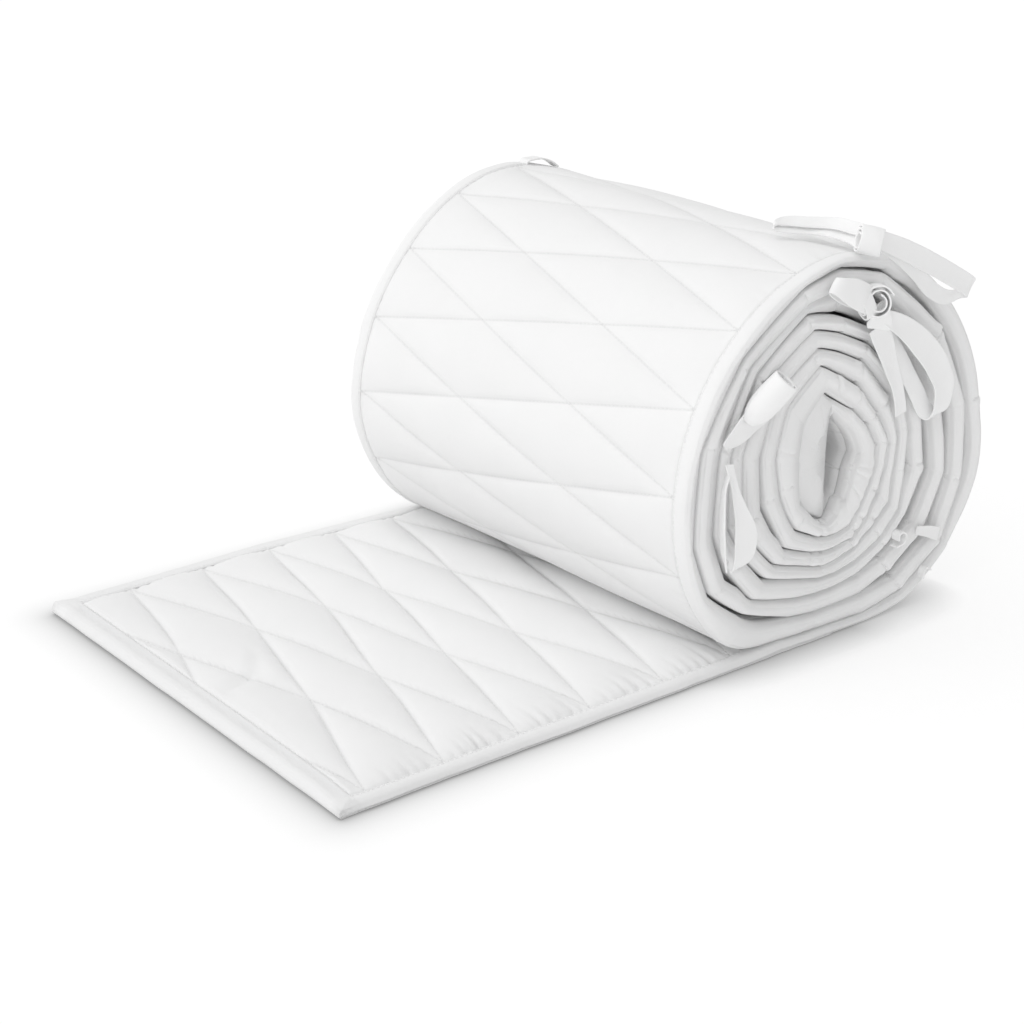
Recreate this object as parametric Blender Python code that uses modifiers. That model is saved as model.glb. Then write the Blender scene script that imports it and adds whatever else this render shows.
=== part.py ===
"""Crib bumper: a padded, quilted strip with taped edges and cotton ties.

The free end of the strip lies flat and the rest is wound into a loose roll. Lengths are in
millimetres until the meshes are made. Points are first laid out with x along the flat end
from its free edge, y across the strip from its near edge, and z up. Angles on the roll are
in degrees from straight down, the way the strip is wound: under, up the right, over, down.
"""

import bmesh
import bpy
import numpy as np
from mathutils import Matrix, Vector

MM = 0.001
SHIFT = np.array((-233.7, -143.6, 0.0))  # puts the origin under the middle of the whole

# The strip
WIDTH = 298.0
START = 0.5  # x of the free end
PITCH = 47.7  # of the stitched diamonds, along the strip
FIRST_STITCH = 21.85  # x of the first point where two stitch lines meet the near seam
FLAT_TOP = ((285.0, 7.5), (318.0, 5.4), (340.0, 5.4))  # x, thickness of the flat end
PUFF = 5.0  # height of a diamond's middle above its stitch lines
GROOVE = 1.0  # depth of the stitch lines below the taped edge
FAR_BOW = ((0.0, 2.0), (140.0, 6.0), (250.0, 1.0), (340.0, 0.0))  # x, bulge of the far edge
FAR_SHIFT = ((0.0, 4.2), (180.0, 3.2), (260.0, 0.0))  # x, how far on the far edge lies

# The roll
CENTRE_X = 340.0
CENTRE_Z = 105.0
LAST_ANGLE = 7 * 360 + 350
GAP = ((15, 1.0), (40, 2.0), (330, 2.0), (360, 1.0))  # angle, space to the next layer inwards
DIRECTIONS = (0, 15, 32, 52, 74, 98, 130, 165, 184, 198, 226, 254, 282, 299, 316, 338, 350)
# Radius of the outer face in each of those directions, one row to a turn. The last row is
# the hollow in the middle.
TURNS = (
    (105, 108.7, 118, 122.5, 127, 119.8, 116.5, 118.5, 118.7, 117.5, 116, 116.5, 118.3, 120, 121,
     104.8, 99.6),
    (98.6, 102.5, 110, 115.5, 111, 104.5, 101.5, 107.8, 112, 111, 108, 109, 110.4, 110, 101.4,
     91.5, 88.5),
    (87, 89, 91, 95.5, 94, 86, 87, 92, 100, 101, 100.5, 96, 96.5, 93.5, 91.5, 80, 77),
    (75.5, 75, 74.5, 74, 74, 67.5, 71, 77, 86, 94, 93, 87, 86, 81, 77.5, 68.5, 67.5),
    (66.5, 66, 66, 65.5, 57, 55.5, 59.5, 68, 76, 85, 84, 78, 74, 70.5, 68, 61, 60.5),
    (59, 56.5, 53.5, 54.5, 46, 46, 48.5, 57.5, 65, 73.5, 72, 63.5, 58.5, 55.5, 57.3, 52.5, 51.5),
    (50.5, 49.5, 45, 40, 38, 39, 36, 44, 52, 63, 59.5, 52, 46, 44.5, 45, 43, 43),
    (42.5, 41.5, 34.5, 30.5, 29.5, 29, 27, 30.5, 37, 46.5, 41, 32, 31, 33, 31.5, 34, 34),
    (29, 18, 12.9, 11, 11, 13.5, 14, 18.5, 28, 11, 3.6, 2.2, 2.1, 2.6, 3.8, 9, 21.7),
)
# What those radii are multiplied by at the far edge, which is wound lower and wider
FAR_SHARE = (
    1, 1, 0.99, 0.98, 0.98, 1, 1, 0.985, 1.015, 1.035, 1.045, 1.08, 1.12, 1.095, 1.055, 1, 1,
)
# Angle, thickness where it lies loose. The inner end is folded over double.
MOST_THICK = ((5.5 * 360, 12.0), (6.2 * 360, 18.0), (2700, 18.0), (2712, 36.0))
# How far back the near edge lies: angle, depth
RECESS = (
    (50, 0),
    (90, 2),
    (140, 2),
    (190, 0),
    (810, 0),
    (850, 5),
    (900, 5),
    (950, 0),
    (2700, 0),
    (2750, 8),
    (2870, 8),
)
# Length along the strip at two directions of the outermost turn, for each edge
NEAR_LENGTHS = ((0, 340.0), (196, 737.4))
FAR_LENGTHS = ((0, 340.0), (180, 713.5), (293, 952.0))

# The tape round the edges
TAPE = 1.2
TAPE_DEPTH = 11.5
CLEAR = 0.3
PINCH = TAPE + CLEAR
END_ARC = 33.0  # radius on which the strip's inner end lies

# Rows of the quilted faces: distance from the near edge, depth below the face, then how much
# of the puff each has in the columns where stitch lines meet the near seam, and between them
ROWS = (
    (1.8, PINCH, 0.0, 0.0),
    (11.8, PINCH, 0.0, 0.0),
    (40.0, 0.0, 0.25, 0.8),
    (103.0, 0.0, 1.0, 0.0),
    (195.0, 0.0, 0.0, 1.0),
    (258.0, 0.0, 0.8, 0.25),
    (286.2, PINCH, 0.0, 0.0),
    (296.2, PINCH, 0.0, 0.0),
)
LOW_IN = (0, 0, 0, 1, 0, 1, 1, 1)  # the columns, even or odd, where each row is stitched down
# Where the puffs rise and fade: place along the flat end, angle on the roll
TOP_PUFFS = ((8, 0), (22, 0.8), (46, 1), (215, 1), (250, 0))
ROLL_PUFFS = ((18, 0), (42, 1), (285, 1), (312, 0))

# The ties
TIE_WIDTH = 15.0
TIE_THICK = 1.2
COLOURS = {
    "quilted_panel": (0.93, 0.93, 0.93),
    "binding": (0.86, 0.87, 0.88),
    "tie": (0.80, 0.82, 0.85),
}


def clear_scene():
    for obj in list(bpy.data.objects):
        bpy.data.objects.remove(obj, do_unlink=True)


def collection(name):
    made = bpy.data.collections.new(name)
    bpy.context.scene.collection.children.link(made)
    return made


def material(name, colour):
    made = bpy.data.materials.new(name)
    made.use_nodes = True
    shader = made.node_tree.nodes["Principled BSDF"]
    shader.inputs["Base Color"].default_value = (*colour, 1.0)
    shader.inputs["Roughness"].default_value = 0.85
    return made


def add_mesh(name, points, faces, home):
    mesh = bpy.data.meshes.new(name)
    mesh.from_pydata(((np.asarray(points) + SHIFT) * MM).tolist(), [], faces)
    work = bmesh.new()
    work.from_mesh(mesh)
    bmesh.ops.recalc_face_normals(work, faces=work.faces)
    work.to_mesh(mesh)
    work.free()
    obj = bpy.data.objects.new(name, mesh)
    home.objects.link(obj)
    return obj


def smooth(at, knots, values):
    """Cubic curve through the values, which never overshoots them."""
    at, knots, values = (np.asarray(each, float) for each in (at, knots, values))
    slope = np.diff(values) / np.diff(knots)
    tangent = np.zeros(len(knots))
    before, after = slope[:-1], slope[1:]
    same = before * after > 0
    tangent[1:-1][same] = 2 * before[same] * after[same] / (before[same] + after[same])
    k = np.clip(np.searchsorted(knots, at, side="right") - 1, 0, len(knots) - 2)
    step = knots[k + 1] - knots[k]
    t = (at - knots[k]) / step
    rise = (3 - 2 * t) * t * t
    lean = t * (1 - t) ** 2 * tangent[k] - t * t * (1 - t) * tangent[k + 1]
    return values[k] * (1 - rise) + values[k + 1] * rise + step * lean


def along(table, at):
    """The value at a place in a table of (place, value)."""
    return np.interp(at, *zip(*table))


ANGLES = [turn * 360 + way for turn in range(len(TURNS)) for way in DIRECTIONS]


def radius(angle, far):
    share = FAR_SHARE if far else [1] * len(DIRECTIONS)
    return smooth(angle, ANGLES, [r * s for row in TURNS for r, s in zip(row, share)])


def roll_faces(angle, far):
    """Points of the outer and the inner face at one edge of the strip."""
    outer = radius(angle, far)
    wall = along(MOST_THICK, angle)
    inner = max(radius(angle + 360, far) + along(GAP, angle), outer - wall)
    ways = np.sin(np.radians(angle)), -np.cos(np.radians(angle))
    y = WIDTH if far else along(RECESS, angle)
    faces = [(CENTRE_X + r * ways[0], y, CENTRE_Z + r * ways[1]) for r in (outer, inner)]
    if angle < 360:
        x, y, z = faces[0]
        floor = along(FLAT_TOP, x) + GAP[0][1] if angle > 270 else 0.0
        faces[0] = (x, y, max(z, floor))
    return faces


def flat_faces(x, far):
    """The same on the flat end, whose outer face is its underside."""
    y = 0.0
    if far:
        x = x + along(FAR_SHIFT, x)
        y = WIDTH + along(FAR_BOW, x)
    return [(x, y, 0.0), (x, y, along(FLAT_TOP, x))]


def roll_column(near_angle, far_angle):
    return np.array((roll_faces(near_angle, False), roll_faces(far_angle, True)))


def flat_column(x):
    return np.array((flat_faces(x, False), flat_faces(x, True)))


def angle_at(length, far):
    """Direction on the outermost turn for a length along the strip."""
    angles = np.arange(0.0, 361.0)
    rim = np.array([roll_faces(angle, far)[0] for angle in angles])
    run = np.append(0.0, np.cumsum(np.linalg.norm(np.diff(rim, axis=0), axis=1)))
    ways, marks = zip(*(FAR_LENGTHS if far else NEAR_LENGTHS))
    spans = np.interp(ways, angles, run)
    rate = (marks[-1] - marks[0]) / (spans[-1] - spans[0])
    lengths = marks[0] + run * rate
    return np.interp(length, lengths, angles)


def spot(column, across, face, depth):
    """A point of the strip: the distance from its near edge, the face (0 is the outer), and
    the depth below that face."""
    share = across / WIDTH
    outer, inner = column[0] * (1 - share) + column[1] * share
    through = (inner - outer) / np.linalg.norm(inner - outer)
    return outer + through * depth if face == 0 else inner - through * depth


def end_column(depth):
    """The strip at a distance from its inner end."""
    angle = LAST_ANGLE - np.degrees(depth / END_ARC)
    return roll_column(angle, angle)


def columns_of_strip():
    """The strip from its free end inwards: each column with the puff of its two faces."""
    found = []
    for x in (START + ROWS[0][0], START + ROWS[1][0]):
        found.append((flat_column(x), 0.0, 0.0))
    length = FIRST_STITCH
    while True:
        if length <= CENTRE_X:
            found.append((flat_column(length), 0.0, along(TOP_PUFFS, length)))
        else:
            near, far = angle_at(length, False), angle_at(length, True)
            if max(near, far) > DIRECTIONS[-1]:
                break
            found.append((roll_column(near, far), along(ROLL_PUFFS, near), 0.0))
        length += PITCH / 2
    first_end = LAST_ANGLE - np.degrees(ROWS[1][0] / END_ARC)
    for angle in ANGLES:
        if 360 <= angle < first_end - 4:
            found.append((roll_column(angle, angle), 0.0, 0.0))
    for depth in (ROWS[1][0], ROWS[0][0]):
        found.append((end_column(depth), 0.0, 0.0))
    return found


def panel(home):
    columns = columns_of_strip()
    last = len(columns) - 1
    count = len(ROWS)
    points = []
    for k, (column, *puffs) in enumerate(columns):
        at_end = k < 2 or k > last - 2
        for face in (0, 1):
            for across, pinch, share_even, share_odd in ROWS:
                share = share_odd if k % 2 else share_even
                depth = PINCH if at_end else pinch
                if not depth:
                    depth = puffs[face] * (GROOVE - share * PUFF)
                points.append(spot(column, across, face, depth))
    faces = []
    for k in range(last):
        for face in (0, 1):
            for r in range(count - 1):
                a = (2 * k + face) * count + r
                b, c, d = a + 1, a + 1 + 2 * count, a + 2 * count
                # each quad is split along its stitch line
                if LOW_IN[r] == k % 2:
                    faces += [(a, b, c), (a, c, d)]
                else:
                    faces += [(a, b, d), (b, c, d)]
        for r in (0, count - 1):
            a = 2 * k * count + r
            faces.append((a, a + 2 * count, a + 3 * count, a + count))
    for k in (0, last):
        for r in range(count - 1):
            a = 2 * k * count + r
            faces.append((a, a + 1, a + 1 + count, a + count))
    return add_mesh("quilted_panel", points, faces, home)


def tape_section(place):
    """The folded tape's section. place takes a depth from the edge, a face and a depth below
    the face."""
    thick = np.linalg.norm(place(0.0, 0, 0.0) - place(0.0, 1, 0.0))
    corner = min(0.25 * thick, 1.7)
    outline = (
        (TAPE_DEPTH, 0, 0.0),
        (corner, 0, 0.0),
        (0.0, 0, corner),
        (0.0, 1, corner),
        (corner, 1, 0.0),
        (TAPE_DEPTH, 1, 0.0),
        (TAPE_DEPTH, 1, TAPE),
        (PINCH, 1, TAPE),
        (PINCH, 0, TAPE),
        (TAPE_DEPTH, 0, TAPE),
    )
    return [place(*each) for each in outline]


def binding(home):
    """One tape folded over the near edge, the inner end, the far edge and the free end."""
    columns = [column for column, *_ in columns_of_strip()]
    inner = columns[1:-1]
    sections = []
    for column in inner:
        sections.append(tape_section(lambda d, f, h, c=column: spot(c, d, f, h)))
    for far in (False, True):
        sections.append(
            tape_section(lambda d, f, h, s=far: spot(end_column(d), WIDTH - d if s else d, f, h))
        )
    for column in reversed(inner):
        sections.append(tape_section(lambda d, f, h, c=column: spot(c, WIDTH - d, f, h)))
    for far in (True, False):
        sections.append(
            tape_section(
                lambda d, f, h, s=far: spot(flat_column(START + d), WIDTH - d if s else d, f, h)
            )
        )
    size = len(sections[0])
    points = [point for section in sections for point in section]
    faces = []
    for k in range(len(sections)):
        here, there = k * size, (k + 1) % len(sections) * size
        for r in range(size):
            s = (r + 1) % size
            faces.append((here + r, here + s, there + s, there + r))
    return add_mesh("binding", points, faces, home)


def band(name, marks, home, width=TIE_WIDTH, steps=4):
    """Tape through the marks, each a place, the direction across the tape there, and the
    share of its width."""
    marks = np.asarray(marks, float)
    knots = np.arange(len(marks))
    at = np.linspace(0, len(marks) - 1, (len(marks) - 1) * steps + 1)
    rows = np.array([smooth(at, knots, column) for column in marks.T]).T
    bpy.ops.mesh.primitive_grid_add(x_subdivisions=len(rows) - 1, y_subdivisions=1)
    strip = bpy.context.object
    strip.name = name
    for owner in list(strip.users_collection):
        owner.objects.unlink(strip)
    home.objects.link(strip)
    order = sorted(strip.data.vertices, key=lambda v: (round(v.co.x, 5), v.co.y))
    for k, vertex in enumerate(order):
        place, across, share = rows[k // 2][:3], rows[k // 2][3:6], rows[k // 2][6]
        across = across / np.linalg.norm(across)
        side = (k % 2 - 0.5) * width * share
        vertex.co = (place + across * side + SHIFT) * MM
    solid = strip.modifiers.new("cloth", "SOLIDIFY")
    solid.thickness = TIE_THICK * MM
    solid.offset = 0.0
    return strip


def helper(obj):
    obj.hide_render = True
    obj.display_type = "WIRE"


def knotted(name, centre, size, turn, bands, home, spare):
    """A knot with its bands of tape joined to it."""
    bpy.ops.mesh.primitive_ico_sphere_add(subdivisions=2, radius=1.0)
    knot = bpy.context.object
    knot.name = name
    for owner in list(knot.users_collection):
        owner.objects.unlink(knot)
    home.objects.link(knot)
    lean = Matrix.Rotation(np.radians(turn), 3, "Y")
    for vertex in knot.data.vertices:
        place = lean @ Vector(each * half for each, half in zip(vertex.co, size))
        vertex.co = (np.array(place) + centre + SHIFT) * MM
    for number, marks in enumerate(bands):
        part = band(f"{name}_band_{number}", marks, spare)
        helper(part)
        join = knot.modifiers.new(f"join_{number}", "BOOLEAN")
        join.operation = "UNION"
        join.solver = "EXACT"
        join.object = part
    return knot


# Bands of the ties: place x, y, z, the direction across the tape, and the share of its width
TOP_LEFT_EAR = (
    (349, 5, 228.6, 0.95, 0.0, 0.3, 0.8),
    (353, 22, 229.0, 0.93, 0.2, 0.22, 0.8),
    (350, 37, 229.4, 0.88, 0.4, 0.2, 0.8),
    (340, 48, 229.4, 0.72, 0.6, 0.2, 0.8),
    (332, 52, 230.2, 0.67, 0.65, 0.2, 0.65),
    (329.6, 53.4, 232, 0.68, 0.62, 0.25, 0.6),
    (334, 53.4, 233.8, 0.72, 0.55, 0.3, 0.65),
    (347, 43, 233.4, 0.8, 0.3, 0.5, 0.8),
    (356, 28, 234.0, 0.8, 0.1, 0.55, 0.8),
    (356, 8, 233.8, 0.85, 0.0, 0.5, 0.8),
)
TOP_RIGHT_EAR = (
    (354, -3.6, 232, 0.4, 0.0, 0.9, 0.75),
    (372, -4.6, 224, 0.42, 0.0, 0.9, 0.9),
    (396, -5.4, 212, 0.44, 0.0, 0.9, 0.95),
    (418, -5.8, 200, 0.48, 0.0, 0.88, 0.95),
    (430, -5.6, 193.2, 0.54, 0.0, 0.84, 0.9),
    (433.5, -3.6, 190.6, 0.56, 0.0, 0.83, 0.85),
    (430, -1.5, 189.8, 0.58, 0.0, 0.81, 0.8),
    (418, -1.4, 188, 0.63, 0.0, 0.77, 0.75),
    (403, -1.4, 194.5, 0.66, 0.0, 0.75, 0.75),
    (388, -1.4, 207.5, 0.6, 0.0, 0.8, 0.7),
    (372, -1.4, 219.5, 0.5, 0.0, 0.85, 0.6),
    (356, -1.2, 229, 0.4, 0.0, 0.9, 0.5),
)
FACE_LOOP = (
    (346, -7.5, 200, 0.05, 0.0, 1.0, 1.1),
    (336, -10.5, 204.5, 0.1, 0.0, 1.0, 1.15),
    (327, -11, 209, 0.3, 0.0, 0.95, 1.0),
    (319, -10, 213, 0.55, 0.0, 0.8, 0.7),
    (316, -7, 214, 0.6, 0.0, 0.8, 0.6),
    (320, -4, 211.5, 0.5, 0.0, 0.85, 0.7),
    (331, -3.6, 206, 0.3, 0.0, 0.95, 0.9),
    (345, -4.5, 199.5, 0.1, 0.0, 1.0, 0.9),
)
FACE_FAN = (
    (352, -9.5, 199, 0.95, 0.0, 0.3, 0.35),
    (352, -9.8, 193, 0.95, 0.0, 0.1, 0.8),
    (353, -8.4, 186.5, 0.98, 0.0, -0.15, 1.4),
    (354.5, -6.4, 182, 0.97, 0.0, -0.25, 1.2),
)
FACE_ENDS = (
    (355, -6.2, 184, 0.93, 0.0, 0.35, 1.1),
    (362.5, -5.6, 170, 0.93, 0.0, 0.35, 0.9),
    (369, -5.2, 157, 0.93, 0.0, 0.35, 0.75),
    (377, -4.8, 140, 0.95, 0.0, 0.3, 0.55),
    (380.5, -4.4, 127, 0.98, 0.0, 0.2, 0.6),
)
FACE_SLIT = (
    (356, -7.8, 190, 0.45, 0.0, 0.9, 0.5),
    (371, -8, 182, 0.55, 0.0, 0.83, 0.8),
    (388, -8.4, 169, 0.7, 0.0, 0.72, 1.05),
    (403, -8.6, 153, 0.85, 0.0, 0.5, 1.15),
    (411.5, -8.4, 136, 0.97, 0.0, 0.2, 1.05),
    (410.5, -8, 125, 0.98, 0.0, 0.15, 0.95),
    (407.5, -5.8, 120.5, 0.95, 0.0, 0.2, 0.85),
    (402, -3.8, 124.5, 0.92, 0.0, 0.35, 0.8),
    (395, -3.4, 135, 0.87, 0.0, 0.45, 0.75),
    (384, -3.4, 151, 0.8, 0.0, 0.55, 0.75),
    (371, -3.6, 169, 0.75, 0.0, 0.6, 0.7),
    (358, -5, 187, 0.7, 0.0, 0.7, 0.5),
)
LEFT_LOOP = (
    (247, -3.2, 137.5, -0.6, 0.0, 0.8, 0.45),
    (258, -2.8, 143, -0.62, 0.0, 0.78, 0.8),
    (272, -2.8, 153, -0.66, 0.05, 0.74, 1.0),
    (284, -3.6, 163.5, -0.68, 0.2, 0.7, 1.05),
    (287.5, -7.4, 169.5, -0.64, 0.42, 0.62, 1.1),
    (281, -11.6, 170.5, -0.64, 0.42, 0.62, 1.1),
    (270, -13, 163, -0.66, 0.36, 0.62, 1.1),
    (258.5, -11.8, 153, -0.66, 0.2, 0.7, 1.0),
    (250.5, -8, 144, -0.65, 0.0, 0.76, 0.7),
    (246, -5, 138, -0.6, 0.0, 0.8, 0.45),
)
LOW_LOOP = (
    (249, -6.2, 126, 0.3, 0.95, 0.0, 0.6),
    (248.6, -7, 118, 0.25, 0.97, 0.0, 0.7),
    (249.5, -8.2, 110, 0.2, 0.98, 0.0, 0.85),
    (254, -8.6, 102, 0.1, 0.99, 0.05, 0.95),
    (259, -8.6, 91, 0.1, 0.99, 0.0, 1.0),
    (260, -8.6, 80, 0.1, 0.99, 0.0, 1.0),
    (255.5, -8.6, 70.5, 0.1, 0.99, 0.0, 1.0),
    (248, -8.6, 68, 0.2, 0.98, 0.0, 1.0),
    (242.5, -8.4, 73, 0.35, 0.93, 0.0, 0.95),
    (240.5, -8, 87, 0.45, 0.88, 0.0, 0.9),
    (240, -7.6, 102, 0.45, 0.88, 0.0, 0.85),
    (241.5, -7, 114, 0.4, 0.9, 0.0, 0.75),
    (243.6, -6.2, 125, 0.3, 0.95, 0.0, 0.6),
)
CURL = (
    (385.5, -3.4, 48.5, 0.0, 1.0, 0.0, 1.0),
    (385, -3.4, 52, 0.0, 1.0, 0.0, 1.0),
    (388.6, -3.4, 53.6, 0.0, 1.0, 0.0, 1.0),
    (391.6, -3.4, 50.5, 0.0, 1.0, 0.0, 1.0),
    (389.6, -3.4, 46, 0.0, 1.0, 0.0, 1.0),
    (383.6, -3.4, 45, 0.0, 1.0, 0.0, 1.0),
)
TUCK = (
    (411, -2.9, 17.5, 0.0, 1.0, 0.0, 1.0),
    (410.6, -2.9, 22, 0.0, 1.0, 0.0, 1.0),
    (414, -2.9, 24.4, 0.0, 1.0, 0.0, 1.0),
    (417, -2.9, 21.5, 0.0, 1.0, 0.0, 1.0),
)
WEDGE = (
    (404, -2.4, 49.5, 0.25, 0.1, 0.96, 0.7),
    (414, -2.6, 46.5, 0.25, 0.1, 0.96, 1.0),
    (424, -2.4, 42.5, 0.3, 0.1, 0.95, 1.2),
)
FAR_LOOP = (
    (346, 291, 226.6, 0.0, 1.0, 0.0, 1.0),
    (342.5, 291, 228, 0.0, 1.0, 0.0, 1.0),
    (345, 291, 230.4, 0.0, 1.0, 0.0, 1.0),
    (354, 291, 230.2, 0.0, 1.0, 0.0, 1.0),
    (363, 291, 227.4, 0.0, 1.0, 0.0, 1.0),
    (369, 291, 223, 0.0, 1.0, 0.0, 1.0),
)
# Each knotted tie: the knot's centre, its half sizes, its lean in degrees, its bands
KNOTTED = {
    "tie_top": ((349, 0.5, 232), (10, 6, 7), 15, (TOP_LEFT_EAR, TOP_RIGHT_EAR)),
    "tie_face": ((348, -7, 199), (9, 5, 10), -20, (FACE_LOOP, FACE_FAN, FACE_ENDS, FACE_SLIT)),
    "tie_left": ((246.5, -4.2, 137.5), (4, 2.6, 3.4), 0, (LEFT_LOOP,)),
    "tie_low": ((246.5, -5.4, 127.5), (4.4, 4.2, 5), 0, (LOW_LOOP,)),
}
# Each tie that shows only as a fold: its band, and how much of its width shows
FOLDED = {
    "tie_curl": (CURL, 5.0),
    "tie_tuck": (TUCK, 4.0),
    "tie_wedge": (WEDGE, 6.0),
    "tie_far": (FAR_LOOP, 9.0),
}


def ties(home, spare):
    made = [knotted(name, *knot, home, spare) for name, knot in KNOTTED.items()]
    for name, (marks, width) in FOLDED.items():
        made.append(band(name, marks, home, width=width, steps=2))
    return made


def main():
    clear_scene()
    home = collection("crib_bumper")
    spare = collection("cutters")
    paint = {name: material(name, colour) for name, colour in COLOURS.items()}
    for obj in (panel(home), binding(home), *ties(home, spare)):
        obj.data.materials.clear()
        own = paint.get(obj.name)
        if own is None:
            own = material(obj.name, COLOURS["tie"])
        obj.data.materials.append(own)
    bpy.data.materials.remove(paint["tie"])


main()
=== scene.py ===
"""Crib bumper: a quilted, padded strip, its free end lying flat and the rest wound into a roll.

Points of the cloth are worked out in millimetres with x along the flat end from its free edge,
y across the strip from its near edge and z up. Angles on the roll are in degrees from straight
down, the way the strip is wound: under, up the right, over the top and down the left.
"""

import bmesh
import bpy
import numpy as np
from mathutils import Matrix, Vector


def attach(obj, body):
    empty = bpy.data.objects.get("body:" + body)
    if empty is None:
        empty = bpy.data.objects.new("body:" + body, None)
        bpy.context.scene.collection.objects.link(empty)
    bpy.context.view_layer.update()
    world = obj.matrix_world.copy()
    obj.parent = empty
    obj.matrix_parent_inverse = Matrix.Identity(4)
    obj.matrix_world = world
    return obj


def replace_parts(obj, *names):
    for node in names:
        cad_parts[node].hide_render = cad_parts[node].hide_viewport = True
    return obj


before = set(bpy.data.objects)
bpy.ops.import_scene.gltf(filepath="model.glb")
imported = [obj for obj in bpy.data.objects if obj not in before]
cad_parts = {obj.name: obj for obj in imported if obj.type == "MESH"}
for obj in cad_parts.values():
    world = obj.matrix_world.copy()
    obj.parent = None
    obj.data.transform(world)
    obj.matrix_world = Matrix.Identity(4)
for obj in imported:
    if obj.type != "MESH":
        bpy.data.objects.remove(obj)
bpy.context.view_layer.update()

MM = 0.001
SHIFT = np.array((-233.7, -143.6, 0.0))  # from these places to those of the frame

# --- the wound strip

WIDTH = 298.0
START = 0.5  # x of the free end
PITCH = 47.7  # of the stitched diamonds, along the strip
FIRST_STITCH = 21.85  # x of the first point where two stitch lines meet the near seam
FLAT_TOP = ((285, 7.5), (318, 5.4), (340, 5.4))  # x, thickness of the flat end
FAR_BOW = ((0, 6.5), (140, 9.5), (250, 4.5), (340, 0))  # x, bulge of the far edge
FAR_SHIFT = ((0, 1.8), (180, 2.2), (260, 0))  # x, how far on the far edge lies
NEAR_THIN = ((0, 0.7), (20, 0.62), (265, 0.58), (300, 1))  # x, share left of the thickness
NEAR_SEAM = ((0, 1.5), (20, 3.4), (265, 3.4), (300, 0))  # x, how far out the near seam lies
THIN_REACH = 20.0  # across the strip

CENTRE_X = 340.0
CENTRE_Z = 105.0
LAST_ANGLE = 7 * 360 + 350
GAP = ((15, 1), (40, 2), (330, 2), (360, 1))  # angle, space to the next layer inwards
DIRECTIONS = (0, 15, 32, 52, 74, 98, 130, 165, 184, 198, 226, 254, 282, 299, 316, 338, 350)
# Radius of the outer face in each of those directions, one row to a turn. The last row is
# the hollow in the middle.
TURNS = (
    (105, 108.7, 118, 122.5, 127, 119.8, 116.5, 118.5, 118.7, 117.5, 116, 116.5, 118.3, 120, 121,
     104.8, 99.6),
    (98.6, 102.5, 110, 115.5, 111, 104.5, 101.5, 107.8, 112, 111, 108, 109, 110.4, 110, 101.4,
     91.5, 88.5),
    (87, 89, 91, 95.5, 94, 86, 87, 92, 100, 101, 100.5, 96, 96.5, 93.5, 91.5, 80, 77),
    (75.5, 75, 74.5, 74, 74, 67.5, 71, 77, 86, 94, 93, 87, 86, 81, 77.5, 68.5, 67.5),
    (66.5, 66, 66, 65.5, 57, 55.5, 59.5, 68, 76, 85, 84, 78, 74, 70.5, 68, 61, 60.5),
    (59, 56.5, 53.5, 54.5, 46, 46, 48.5, 57.5, 65, 73.5, 72, 63.5, 58.5, 55.5, 57.3, 52.5, 51.5),
    (50.5, 49.5, 45, 40, 38, 39, 36, 44, 52, 63, 59.5, 52, 46, 44.5, 45, 43, 43),
    (42.5, 41.5, 34.5, 30.5, 29.5, 29, 27, 30.5, 37, 46.5, 41, 32, 31, 33, 31.5, 34, 34),
    (29, 18, 12.9, 11, 11, 13.5, 14, 18.5, 28, 11, 3.6, 2.2, 2.1, 2.6, 3.8, 9, 21.7),
)
# What those radii are multiplied by at the far edge, which is wound lower and wider
FAR_SHARE = (
    1, 1, 0.99, 0.98, 0.98, 1, 1, 0.985, 1.015, 1.035, 1.045, 1.08, 1.12, 1.095, 1.055, 1, 1,
)
# Angle, thickness where it lies loose. The inner end is folded over double.
MOST_THICK = (
    (285, 12), (302, 17.5), (320, 17.5), (335, 12),
    (5.5 * 360, 12), (6.2 * 360, 18), (2700, 18), (2712, 36),
)
# How far back the near edge lies: angle, depth
RECESS = (
    (50, 0), (90, 2), (140, 2), (190, 0), (810, 0), (850, 5), (900, 5), (950, 0),
    (2684, 0), (2704, 8), (2870, 8),
)
# Length along the strip at two directions of the outermost turn, for each edge
NEAR_LENGTHS = ((0, 340), (196, 737.4))
FAR_LENGTHS = ((0, 340), (180, 713.5), (293, 952))
STRAIGHTNESS = ((0, 0), (340, 0), (380, 0.75), (2900, 0.75))  # angle, how far bends are kinks

TAPE = 1.2  # its thickness
TAPE_DEPTH = 11.5  # from the edge to the side of the tape
PINCH = 1.5  # how far the cloth is pressed in under the tape
END_ARC = 33.0  # radius that the inner end lies on
SEAM = 11.8  # from the edge to the quilted field
FIELD = 274.4  # width of the quilted field

# Quilting
LEAN = 1.5  # repeats that a stitch line runs along the strip from seam to seam
CELLS = 32  # columns to a repeat
ROWS = 48  # rows from seam to seam, so that stitch lines run along cell diagonals
# The rows, with a few more between them where the cloth gathers at the seams
FINE = np.array(
    [0, 0.33, 0.67, 1, 1.33, 1.67, 2, 2.5, *range(3, ROWS - 1), ROWS - 1, ROWS - 0.5, ROWS]
)
COARSE = (0, 1, 2, 4, 8, 16, 24, 32, 40, 44, 46, 47, 48)
TOP_PUFFS = ((8, 0.5), (22, 0.9), (46, 1), (262, 1), (280, 0.6), (298, 0))
ROLL_PUFFS = ((18, 0), (38, 1), (308, 1), (326, 0))
MOST_COLUMNS = 750.0
LAST_STITCHED = 346  # angle where the stitching columns end
FIRST_INNER = 372.0  # angle where the wider columns of the inner turns begin
INNER_STEP = 3.4  # between those columns
BRIDGE = 14  # columns that lead from the one to the other
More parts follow.
